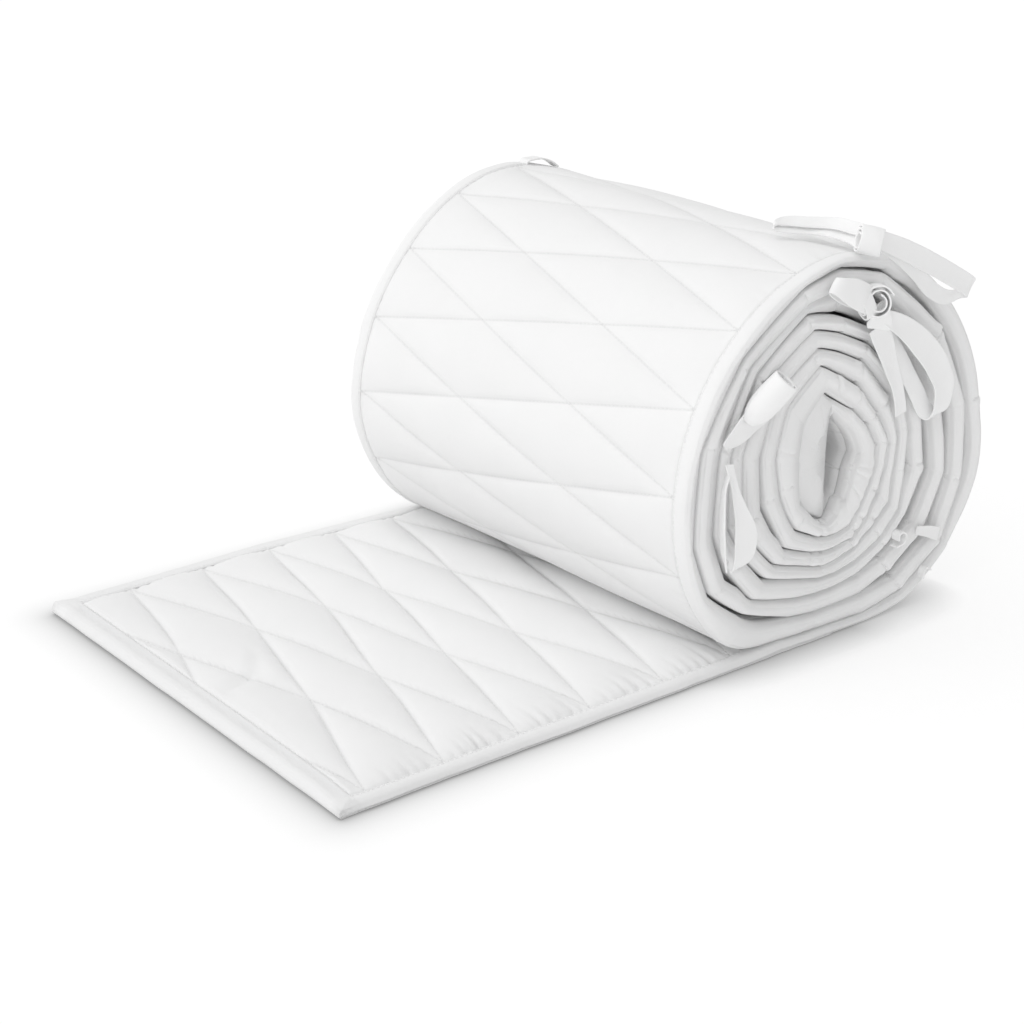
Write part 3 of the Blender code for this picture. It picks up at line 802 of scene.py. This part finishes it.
# Bands of the ties: place x, y, z, the direction across the tape, and the share of its width
TOP_LEFT_EAR = (
    (349, 5, 228.6, 0.95, 0, 0.3, 0.8),
    (353, 22, 229, 0.93, 0.2, 0.22, 0.8),
    (350, 37, 229.4, 0.88, 0.4, 0.2, 0.8),
    (340, 48, 229.4, 0.72, 0.6, 0.2, 0.8),
    (332, 52, 230.2, 0.67, 0.65, 0.2, 0.65),
    (329.6, 53.4, 232, 0.68, 0.62, 0.25, 0.6),
    (334, 53.4, 233.8, 0.72, 0.55, 0.3, 0.65),
    (347, 43, 233.4, 0.8, 0.3, 0.5, 0.8),
    (356, 28, 234, 0.8, 0.1, 0.55, 0.8),
    (356, 8, 233.8, 0.85, 0, 0.5, 0.8),
)
TOP_RIGHT_EAR = (
    (354, -3.6, 232, 0.4, 0, 0.9, 0.75),
    (372, -4.6, 224, 0.42, 0, 0.9, 0.9),
    (396, -5.4, 212, 0.44, 0, 0.9, 0.95),
    (418, -5.8, 200, 0.48, 0, 0.88, 0.95),
    (430, -5.6, 193.2, 0.54, 0, 0.84, 0.9),
    (433.5, -3.6, 190.6, 0.56, 0, 0.83, 0.85),
    (430, -1.5, 189.8, 0.58, 0, 0.81, 0.8),
    (418, -1.4, 188, 0.63, 0, 0.77, 0.75),
    (403, -1.4, 194.5, 0.66, 0, 0.75, 0.75),
    (388, -1.4, 207.5, 0.6, 0, 0.8, 0.7),
    (372, -1.4, 219.5, 0.5, 0, 0.85, 0.6),
    (356, -1.2, 229, 0.4, 0, 0.9, 0.5),
)
FACE_LOOP = (
    (346, -7.5, 200, 0.05, 0, 1, 1.1),
    (336, -10.5, 204.5, 0.1, 0, 1, 1.15),
    (327, -11, 209, 0.3, 0, 0.95, 1),
    (319, -10, 213, 0.55, 0, 0.8, 0.7),
    (316, -7, 214, 0.6, 0, 0.8, 0.6),
    (320, -4, 211.5, 0.5, 0, 0.85, 0.7),
    (331, -3.6, 206, 0.3, 0, 0.95, 0.9),
    (345, -4.5, 199.5, 0.1, 0, 1, 0.9),
)
FACE_FAN = (
    (352, -9.5, 199, 0.95, 0, 0.3, 0.35),
    (352, -9.8, 193, 0.95, 0, 0.1, 0.8),
    (353, -8.4, 186.5, 0.98, 0, -0.15, 1.4),
    (354.5, -6.4, 182, 0.97, 0, -0.25, 1.2),
)
FACE_ENDS = (
    (355, -6.2, 184, 0.93, 0, 0.35, 1.1),
    (362.5, -5.6, 170, 0.93, 0, 0.35, 0.9),
    (369, -5.2, 157, 0.93, 0, 0.35, 0.75),
    (377, -4.8, 140, 0.95, 0, 0.3, 0.55),
    (380.5, -4.4, 127, 0.98, 0, 0.2, 0.6),
)
FACE_SLIT = (
    (356, -7.8, 190, 0.45, 0, 0.9, 0.5),
    (371, -8, 182, 0.55, 0, 0.83, 0.8),
    (388, -8.4, 169, 0.7, 0, 0.72, 1.05),
    (403, -8.6, 153, 0.85, 0, 0.5, 1.15),
    (411.5, -8.4, 136, 0.97, 0, 0.2, 1.05),
    (410.5, -8, 125, 0.98, 0, 0.15, 0.95),
    (407.5, -5.8, 120.5, 0.95, 0, 0.2, 0.85),
    (402, -3.8, 124.5, 0.92, 0, 0.35, 0.8),
    (395, -3.4, 135, 0.87, 0, 0.45, 0.75),
    (384, -3.4, 151, 0.8, 0, 0.55, 0.75),
    (371, -3.6, 169, 0.75, 0, 0.6, 0.7),
    (358, -5, 187, 0.7, 0, 0.7, 0.5),
)
CURL = across_strip(
    -3.4, ((385.5, 48.5), (385, 52), (388.6, 53.6), (391.6, 50.5), (389.6, 46), (383.6, 45))
)
TUCK = across_strip(-2.9, ((411, 17.5), (410.6, 22), (414, 24.4), (417, 21.5)))
WEDGE = (
    (404, -2.4, 49.5, 0.25, 0.1, 0.96, 0.7),
    (414, -2.6, 46.5, 0.25, 0.1, 0.96, 1),
    (424, -2.4, 42.5, 0.3, 0.1, 0.95, 1.2),
)
FAR_LOOP = across_strip(
    291, ((346, 222.6), (342.5, 224), (345, 226.4), (354, 226.2), (363, 223.4), (369, 219))
)
SHARES = (-0.5, -0.46, -0.36, -0.18, 0.0, 0.18, 0.36, 0.46, 0.5)


def band(marks, width, step=1.5, cup=0.5, seed=0, closed=None):
    """A strip of tape through the marks, each a place, the direction across the tape and the
    share of its width: points in rows across it, and its length. closed is the middle of a coil
    that narrows at one end."""
    marks = np.asarray(marks, float)
    knots = np.append(0, np.cumsum(np.linalg.norm(np.diff(marks[:, :3], axis=0), axis=1)))
    at = np.linspace(0, knots[-1], max(6, int(knots[-1] / step)))
    path = np.array([smooth(at, knots, column) for column in marks.T]).T
    for _ in range(2):
        path[1:-1] = 0.5 * path[1:-1] + 0.25 * (path[:-2] + path[2:])
    centre, across, wide = path[:, :3], path[:, 3:6], path[:, 6] * width
    across /= np.linalg.norm(across, axis=1, keepdims=True)
    out = np.cross(np.gradient(centre, axis=0), across)
    out /= np.linalg.norm(out, axis=1, keepdims=True)
    length = np.append(0, np.cumsum(np.linalg.norm(np.diff(centre, axis=0), axis=1)))
    rows = []
    for share in SHARES:
        bow = cup * (4 * share * share - 0.5) + 0.3 * ripple(length / 8, share * 2 + 5, seed)
        bow = bow + 0.12 * ripple(length / 3, share * 5 + 9, seed)
        row = centre + across * (share * wide)[:, None] + out * bow[:, None]
        if closed is not None:
            middle = np.array(closed) + across * (share * wide)[:, None]
            tight = np.sqrt(1 - (max(0.0, -share - 0.08) / 0.44) ** 2)
            row = middle + (row - middle) * tight
        rows.append(row)
    return np.array(rows), length


def coil(centre, axis, sizes, turns, start=0.0, grow=0.0, shares=(1.0, 1.0)):
    """Marks of a band wound round an axis, with the two radii of its first turn."""
    axis = np.array(axis, float) / np.linalg.norm(axis)
    side = np.cross(axis, (0.0, 0.3, 1.0))
    side /= np.linalg.norm(side)
    other = np.cross(side, axis)
    marks = []
    for turn in np.arange(0.0, turns + 0.01, 1 / 12):
        bend = 2 * np.pi * (turn + start)
        away = sizes[0] * np.cos(bend) * side + sizes[1] * np.sin(bend) * other
        share = shares[0] + (shares[1] - shares[0]) * (0.5 - 0.5 * np.cos(bend))
        marks.append((*(np.array(centre) + away * (1 + grow * turn)), *axis, share))
    return marks


def cloth_mesh(name, bands, finish):
    """Bands of tape as one piece with a real thickness, their whole length and their area."""
    points, faces, uvs = [], [], []
    total = area = 0.0
    for rows, length in bands:
        across, count = rows.shape[:2]
        start = len(points)
        points += list(rows.reshape(-1, 3))
        for share in SHARES:
            uvs += [(total + at, 500 + share * TIE_WIDTH) for at in length]
        for r in range(across - 1):
            for k in range(count - 1):
                a = start + r * count + k
                faces.append((a, a + 1, a + 1 + count, a + count))
        total += length[-1] + 20
        wide = np.linalg.norm(np.diff(rows, axis=0), axis=2).sum(axis=0)
        area += wide[:-1] @ np.diff(length)
    obj = add_piece(name, points, faces, uvs, finish)
    solid = obj.modifiers.new("thickness", "SOLIDIFY")
    solid.thickness = TIE_THICK * MM
    solid.offset = 0.0
    soft = obj.modifiers.new("soft", "SUBSURF")
    soft.levels = soft.render_levels = 1
    return settle(obj), sum(length[-1] for _, length in bands), area


# The bands of each tie, with the width of each; then those wound round as its knot
TOP_WRAP = coil((349.5, -1.0, 231.0), (0.72, -0.66, -0.2), (3.0, 4.0), 2.3, 0.1, 0.5, (0.9, 1.2))
FACE_WRAP = coil((341.0, -7.2, 200.0), (1, 0, 0.35), (2.0, 5.4), 2.1, 0.3, 0.5)
FACE_ROLL = coil((349.5, -8.5, 199.0), (-0.5, -0.85, 0.2), (4.0, 4.4), 2.2, 0.3, 0.6)
LEFT_MIDDLE = (266.0, -11.5, 161.0)
LEFT_ROLL = coil(LEFT_MIDDLE, (0.45, -0.42, 0.78), (5.0, 5.6), 1.7, 0.45, 0.3)
LEFT_BACK = (
    (245, -2.8, 137, -0.6, 0, 0.8, 0.25),
    (250, -3, 139, -0.66, 0, 0.75, 0.6),
    (262, -3.2, 147, -0.66, 0, 0.75, 1),
    (275, -3.4, 156, -0.66, 0.1, 0.75, 1.2),
    (288, -4.2, 166, -0.68, 0.2, 0.7, 1.1),
)
LOW_FACE = (
    (246.5, -5.4, 128, 0.9, -0.3, 0, 0.3),
    (249.5, -7.2, 115, 0.92, -0.3, 0, 0.3),
    (252.5, -8.4, 104, 0.95, -0.25, 0, 0.5),
    (255.5, -9.4, 94, 0.97, -0.2, 0, 0.8),
    (257, -9.8, 84, 0.98, -0.15, 0, 0.98),
    (256.8, -9.6, 75, 0.98, -0.1, 0.05, 0.95),
    (255, -8.4, 68.5, 0.98, 0, 0.1, 0.72),
    (252, -6.2, 66, 0.97, 0.1, 0.2, 0.4),
)
LOW_BACK = (
    (247, -4.6, 122, 0.5, 0.8, 0, 0.4),
    (243.4, -5, 112, 0.5, 0.85, 0, 0.5),
    (242.6, -5.6, 95, 0.45, 0.9, 0, 0.6),
    (244.2, -5.8, 78, 0.5, 0.85, 0, 0.6),
    (248.6, -5, 68, 0.7, 0.6, 0.3, 0.6),
)
TIES = {
    "tie_top": ((TOP_LEFT_EAR, 11), (TOP_RIGHT_EAR, 13), (TOP_WRAP, 13)),
    "tie_face": (
        (FACE_LOOP, 15),
        (FACE_FAN, 15),
        (FACE_ENDS, 15),
        (FACE_SLIT, 15),
        (FACE_WRAP, 8),
        (FACE_ROLL, 11),
    ),
    "tie_left": ((LEFT_BACK, 15), (LEFT_ROLL, 31)),
    "tie_low": ((LOW_BACK, 15), (LOW_FACE, 15)),
    "tie_curl": ((CURL, 6),),
    "tie_tuck": ((TUCK, 5),),
    "tie_wedge": ((WEDGE, 7),),
    "tie_far": ((FAR_LOOP, 9),),
}


# --- finishes


class Wire:
    """A number that varies over a surface, with arithmetic that adds the nodes for it."""

    def __init__(self, finish, socket):
        self.finish, self.socket = finish, socket

    def _with(self, operation, first, second=None):
        inputs = [first] if second is None else [first, second]
        return self.finish.node("ShaderNodeMath", {"operation": operation}, inputs)

    def __add__(self, other):
        return self._with("ADD", self, other)

    __radd__ = __add__

    def __mul__(self, other):
        return self._with("MULTIPLY", self, other)

    __rmul__ = __mul__

    def __sub__(self, other):
        return self._with("SUBTRACT", self, other)

    def __rsub__(self, other):
        return self._with("SUBTRACT", other, self)

    def sine(self):
        return self._with("SINE", self)

    def fract(self):
        return self._with("FRACT", self)

    def size(self):
        return self._with("ABSOLUTE", self)

    def exp(self):
        return self._with("EXPONENT", self)

    def power(self, other):
        return self._with("POWER", self, other)


class Finish:
    """A material being made."""

    def __init__(self, name):
        self.material = bpy.data.materials.new(name)
        self.material.use_nodes = True
        self.tree = self.material.node_tree
        self.shader = self.tree.nodes["Principled BSDF"]

    def node(self, kind, settings=None, inputs=(), output=0):
        made = self.tree.nodes.new(kind)
        for key, value in (settings or {}).items():
            setattr(made, key, value)
        pairs = inputs.items() if isinstance(inputs, dict) else enumerate(inputs)
        for key, value in pairs:
            self.join(made.inputs[key], value)
        return Wire(self, made.outputs[output])

    def vector(self, operation, *inputs, output=0):
        return self.node("ShaderNodeVectorMath", {"operation": operation}, inputs, output)

    def join(self, socket, value):
        if isinstance(value, Wire):
            self.tree.links.new(value.socket, socket)
        else:
            socket.default_value = value

    def set(self, **values):
        for key, value in values.items():
            self.join(self.shader.inputs[key.replace("_", " ")], value)


WHITE = (0.885, 0.885, 0.885)
TIE_WHITE = (0.94, 0.94, 0.94)


def cotton(name, colour, kind="tape", thread=0.45, shade=0.025):
    """Woven cotton. Cloth coordinates are in metres: along the strip, then across it."""
    look = Finish(name)
    cloth = look.node("ShaderNodeUVMap", {"uv_map": "cloth"})
    u = look.node("ShaderNodeSeparateXYZ", None, [cloth])
    v = Wire(look, u.socket.node.outputs[1])
    # threads over and under
    warp = (u * (2 * np.pi / (thread * MM))).sine()
    weft = (v * (2 * np.pi / (thread * MM))).sine()
    slub = look.node(
        "ShaderNodeTexNoise", None, {"Vector": cloth, "Scale": 420.0, "Detail": 2.0}
    )
    soft = look.node("ShaderNodeTexNoise", None, {"Vector": cloth, "Scale": 38.0, "Detail": 3.0})
    height = warp * weft * 0.05 + slub * 0.12 + soft * 0.25
    tone = soft * shade + slub * (shade * 0.5) + (1 - 0.75 * shade)
    if kind == "quilted":
        field = v * (1 / (MM * FIELD)) - SEAM / FIELD
        run = u * (1 / (MM * PITCH)) - FIRST_STITCH / PITCH
        cut = None
        for lean in (-LEAN, LEAN):
            place = (run + field * lean).fract()
            gap = (0.5 - (place - 0.5).size()) * (PITCH * 0.968)
            line = (gap * gap * -2.6).exp()
            cut = line if cut is None else cut + line
        needle = (v * (2 * np.pi / (3.0 * MM))).sine() * 0.2 + 0.8
        height = height - cut * needle * 0.5
        # painted shade: a little darker along the stitch lines, where their grooves lie in shade
        tone = tone - cut * 0.07
    if kind == "tape":
        # painted highlight: paler along the fold, where the rim catches light; painted shade:
        # greyer towards the side that lies inwards, next to the layer within
        fold = v * (1 / MM) - 411.5
        inner = v * (1 / MM) - 418.0
        tone = tone + (fold * fold * -0.5).exp() * 0.03 - (inner * inner * -0.12).exp() * 0.035
    bump = look.node(
        "ShaderNodeBump", None, {"Strength": 0.6, "Distance": 0.0008, "Height": height}
    )
    grey = look.node("ShaderNodeCombineColor", None, [tone, tone, tone])
    base = look.node(
        "ShaderNodeMix",
        {"data_type": "RGBA", "blend_type": "MULTIPLY"},
        {0: 1.0, 6: (*colour, 1.0), 7: grey},
        output=2,
    )
    look.set(Base_Color=base, Normal=bump, Roughness=0.85)
    look.set(Sheen_Weight=0.1, Sheen_Roughness=0.45, Specular_IOR_Level=0.25)
    return look.material


def floor_finish():
    look = Finish("pale_floor")
    spot = look.node("ShaderNodeTexCoord", None, (), 3)
    speckle = look.node("ShaderNodeTexNoise", None, {"Vector": spot, "Scale": 3.0, "Detail": 2.0})
    near = look.node(
        "ShaderNodeAmbientOcclusion", {"samples": 16}, {"Distance": FLOOR_SHADE[0]}, output=1
    )
    shade = 1 - (1 - near).power(FLOOR_SHADE[2]) * FLOOR_SHADE[1]
    # and round the flat end, whose edges are too low to shade much of the floor
    apart = look.vector("ABSOLUTE", look.vector("SUBTRACT", spot, FLAT_MIDDLE))
    apart = look.vector("MAXIMUM", look.vector("SUBTRACT", apart, FLAT_HALF), (0, 0, 0))
    away = look.vector("LENGTH", apart, output=1)
    shade = shade * (1 - (away * (-1 / FLAT_SHADE[0])).exp() * FLAT_SHADE[1])
    tone = (speckle * 0.01 + FLOOR_TONE) * shade
    grey = look.node("ShaderNodeCombineColor", None, [tone, tone, tone])
    glow = look.node("ShaderNodeCombineColor", None, [shade, shade, shade])
    look.set(Base_Color=grey, Roughness=0.9, Specular_IOR_Level=0.1)
    look.set(Emission_Color=glow, Emission_Strength=FLOOR_GLOW)
    return look.material


# --- light and camera

DOME = 0.70
DOME_WAY = (-0.24, 0.20, 0.20)  # where it is brighter, and by how much
KEY_WAY, KEY_ENERGY, KEY_SPREAD = (-0.7, 0.1, 1.0), 0.48, 70
FLOOR_TONE, FLOOR_GLOW, FLOOR_HALF = 0.36, 0.67, 14.0
FLOOR_SHADE = (0.030, 0.60, 0.9)  # reach, strength and fall of the soft shadow under all edges
FLAT_MIDDLE, FLAT_HALF = (-0.055, 0.0065, 0.0), (0.178, 0.150, 0.01)  # of the flat end, in metres
FLAT_SHADE = (0.0125, 0.30)  # reach and strength of the shadow round it
LENS = 73.3
CAMERA_AT = (-0.47881, -0.743, 0.51292)
CAMERA_DOWN, CAMERA_LEFT = 21.83, -38.17


def studio():
    scene = bpy.context.scene
    scene.view_settings.view_transform = "Standard"
    world = bpy.data.worlds.new("studio")
    scene.world = world
    world.use_nodes = True
    tree = world.node_tree
    back = tree.nodes["Background"]
    back.inputs["Color"].default_value = (1.0, 1.0, 1.0, 1.0)
    way = tree.nodes.new("ShaderNodeTexCoord")
    lean = tree.nodes.new("ShaderNodeVectorMath")
    lean.operation = "DOT_PRODUCT"
    lean.inputs[1].default_value = DOME_WAY
    level = tree.nodes.new("ShaderNodeMath")
    level.inputs[1].default_value = DOME
    tree.links.new(way.outputs["Generated"], lean.inputs[0])
    tree.links.new(lean.outputs["Value"], level.inputs[0])
    tree.links.new(level.outputs[0], back.inputs["Strength"])
    light = bpy.data.lights.new("key", "SUN")
    light.energy = KEY_ENERGY
    light.angle = np.radians(KEY_SPREAD)
    key = bpy.data.objects.new("key", light)
    scene.collection.objects.link(key)
    key.rotation_euler = Vector(KEY_WAY).to_track_quat("Z", "Y").to_euler()
    mesh = bpy.data.meshes.new("floor")
    corners = [(x * FLOOR_HALF, y * FLOOR_HALF, 0) for x, y in ((-1, -1), (1, -1), (1, 1), (-1, 1))]
    mesh.from_pydata(corners, [], [(0, 1, 2, 3)])
    floor = bpy.data.objects.new("floor", mesh)
    scene.collection.objects.link(floor)
    mesh.materials.append(floor_finish())
    floor.location.z = -0.0003
    lens = bpy.data.cameras.new("camera")
    lens.sensor_width = 36.0
    lens.lens = LENS
    lens.clip_end = 50.0
    camera = bpy.data.objects.new("camera", lens)
    scene.collection.objects.link(camera)
    camera.location = np.array(CAMERA_AT) + SHIFT * MM
    camera.rotation_euler = np.radians((90 - CAMERA_DOWN, 0.0, CAMERA_LEFT))
    scene.camera = camera


# --- the whole


def main():
    studio()
    quilted = cotton("quilted_cotton", WHITE, "quilted")
    taped = cotton("edge_tape", WHITE, thread=0.5)
    tied = cotton("tie_tape", TIE_WHITE, "tie", thread=0.5)
    thread = cotton("thread", WHITE, "thread", thread=0.3)

    strip = Strip()
    panel, points = make_panel(strip, quilted)
    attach(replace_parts(panel, "quilted_panel"), "root")

    tape = make_binding(strip, taped)
    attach(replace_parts(tape, "binding"), "root")

    tree = stitch_tree(thread)
    sizes = {"Spacing": 0.0030, "Length": 0.0025, "Thickness": 0.0005}
    sewn = make_stitches("quilting_stitches", quilting_lines(strip, points), tree, sizes)
    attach(sewn, "root")
    hem = make_stitches("hem_stitches", hem_lines(strip), tree, sizes)
    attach(hem, "root")

    for name, tables in TIES.items():
        bands = []
        for k, (marks, width) in enumerate(tables):
            cup = 0.5 if width > 10 else 0.15
            closed = LEFT_MIDDLE if marks is LEFT_ROLL else None
            step = 1.5 if width > 10 else 1.0
            bands.append(band(marks, width, step, cup, k + len(name), closed))
        obj, total, area = cloth_mesh(name + "_cloth", bands, tied)
        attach(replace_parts(obj, name), "root")
        flat = (max(area / total, 10) * MM, total * MM)
        area * MM**2


main()
